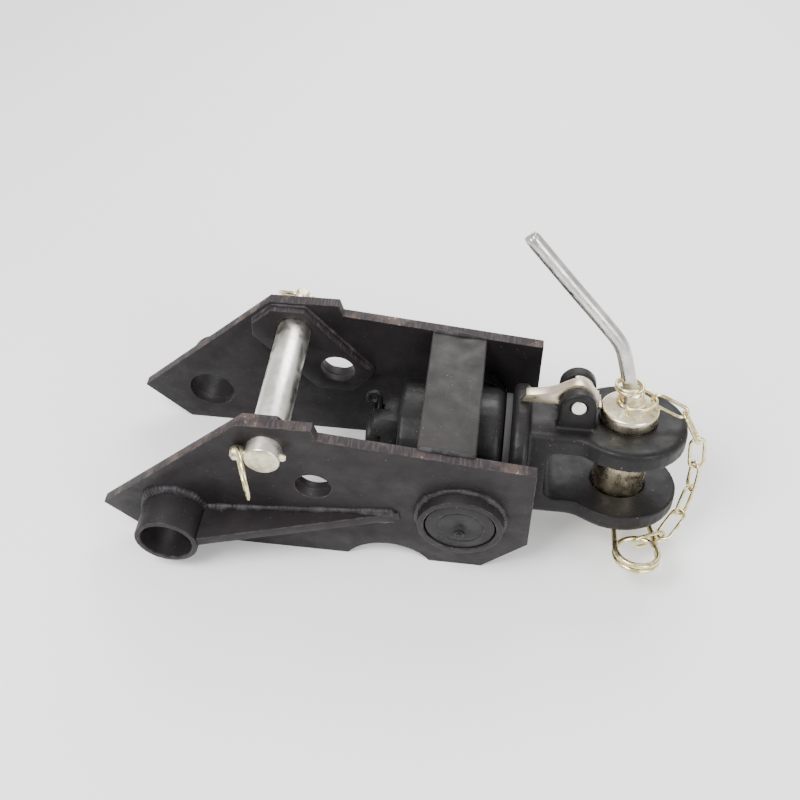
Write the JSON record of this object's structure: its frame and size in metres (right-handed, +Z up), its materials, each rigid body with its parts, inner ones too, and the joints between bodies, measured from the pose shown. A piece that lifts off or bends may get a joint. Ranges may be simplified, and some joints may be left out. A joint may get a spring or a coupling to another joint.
{
  "type": "trailer coupler lock",
  "caption": "Pin-type trailer coupler: welded side-plate frame, rocking hub, swivelling clevis with a latched drop pin, chained spring clip and a top-link pin with linch pins.",
  "frame": {"origin": "middle of the overall box, on the plane that the side plates' lower edges stand on", "axes": "+X along the swivel axis towards the clevis, +Y towards the far side plate, +Z up"},
  "size_m": [0.4386, 0.1992, 0.2412],
  "materials": {
    "frame_paint": "semi-matt black paint over rolled and flame-cut plate",
    "bar_paint": "semi-matt black paint over rolled flat bar",
    "cast_paint": "satin black paint over a casting",
    "seal_rubber": "dark washer",
    "pin_zinc": "satin zinc plate",
    "flap_zinc": "pressed sheet with yellow passivated zinc",
    "spring_steel": "plated spring wire",
    "yellow_zinc": "bright yellow passivated zinc",
    "handle_zinc": "bright drawn bar with zinc plate",
    "wire_zinc": "zinc plated wire",
    "linch_zinc": "yellow zinc over a rough forging"
  },
  "bodies": {
    "frame": {"side_plate_near": "frame_paint", "side_plate_far": "frame_paint", "doubler_near": "frame_paint", "doubler_far": "frame_paint", "bush_tube_near": "frame_paint", "bush_tube_far": "frame_paint", "gusset_rib_near": "frame_paint", "gusset_rib_far": "frame_paint", "trunnion_ring_near": "frame_paint", "trunnion_ring_far": "frame_paint", "crossbar": "bar_paint"},
    "hub": {"hub_housing": "cast_paint", "trunnion_pin_near": "cast_paint", "trunnion_pin_far": "cast_paint", "grease_nipple_near": "cast_paint", "grease_nipple_far": "cast_paint"},
    "clevis": {"clevis": "cast_paint", "thrust_washer": "seal_rubber", "castle_nut": "cast_paint", "split_pin": "cast_paint", "latch_pin": "pin_zinc"},
    "latch": {"latch_flap": "flap_zinc", "latch_spring": "spring_steel"},
    "drop_pin": {"drop_pin": "yellow_zinc", "pin_handle": "handle_zinc", "neck_ring_upper": "wire_zinc", "neck_ring_lower": "wire_zinc", "chain_link_1": "wire_zinc", "chain_link_2": "wire_zinc", "chain_link_3": "wire_zinc", "chain_link_4": "wire_zinc", "chain_link_5": "wire_zinc", "chain_link_6": "wire_zinc"},
    "clip": {"r_clip": "wire_zinc", "chain_link_7": "wire_zinc"},
    "top_pin": {"top_pin": "pin_zinc", "linch_pin_far": "linch_zinc"},
    "linch_near": {"linch_pin_near": "linch_zinc"},
    "ring_near": {"linch_ring_near": "wire_zinc"},
    "ring_far": {"linch_ring_far": "wire_zinc"}
  },
  "joints": [
    {"name": "hub_pitch", "type": "hinge", "parent": "frame", "child": "hub", "pos_m": [0.0502, 0.0046, 0.06], "axis": [0, -1, 0], "range_deg": [-5, 5]},
    {"name": "clevis_swivel", "type": "hinge", "parent": "hub", "child": "clevis", "pos_m": [0.0502, 0.0046, 0.065], "axis": [1, 0, 0], "range_deg": [-32, 50]},
    {"name": "latch_lift", "type": "hinge", "parent": "clevis", "child": "latch", "pos_m": [0.1252, 0.0159, 0.1176], "axis": [0, 0.9777, -0.21], "range_deg": [0, 35], "stiffness_Nm_per_rad": 0.3, "springref_deg": -28.65, "deforming": ["latch_spring"]},
    {"name": "drop_pin_turn", "type": "hinge", "parent": "clevis", "child": "drop_pin", "pos_m": [0.1622, 0.0046, 0.065], "axis": [0, 0.21, 0.9777], "range_deg": [-75, 75]},
    {"name": "clip_pull", "type": "slide", "parent": "drop_pin", "child": "clip", "axis": [0, -0.9777, 0.21], "range_m": [0, 0.048], "deforming": ["chain_link_1", "chain_link_2", "chain_link_3", "chain_link_4", "chain_link_5", "chain_link_6", "chain_link_7"]},
    {"name": "top_pin_turn", "type": "hinge", "parent": "frame", "child": "top_pin", "pos_m": [-0.0864, 0.0046, 0.1185], "axis": [0, 1, 0], "continuous": true},
    {"name": "near_linch_pull", "type": "slide", "parent": "top_pin", "child": "linch_near", "axis": [-1, 0, 0], "range_m": [0, 0.04]},
    {"name": "near_ring_swing", "type": "hinge", "parent": "linch_near", "child": "ring_near", "pos_m": [-0.1044, -0.0654, 0.1185], "axis": [0, 0, 1], "range_deg": [-24, 66]},
    {"name": "far_ring_swing", "type": "hinge", "parent": "top_pin", "child": "ring_far", "pos_m": [-0.08235, 0.0746, 0.13604], "axis": [0.9744, 0, -0.225], "range_deg": [-40, 70]}
  ]
}
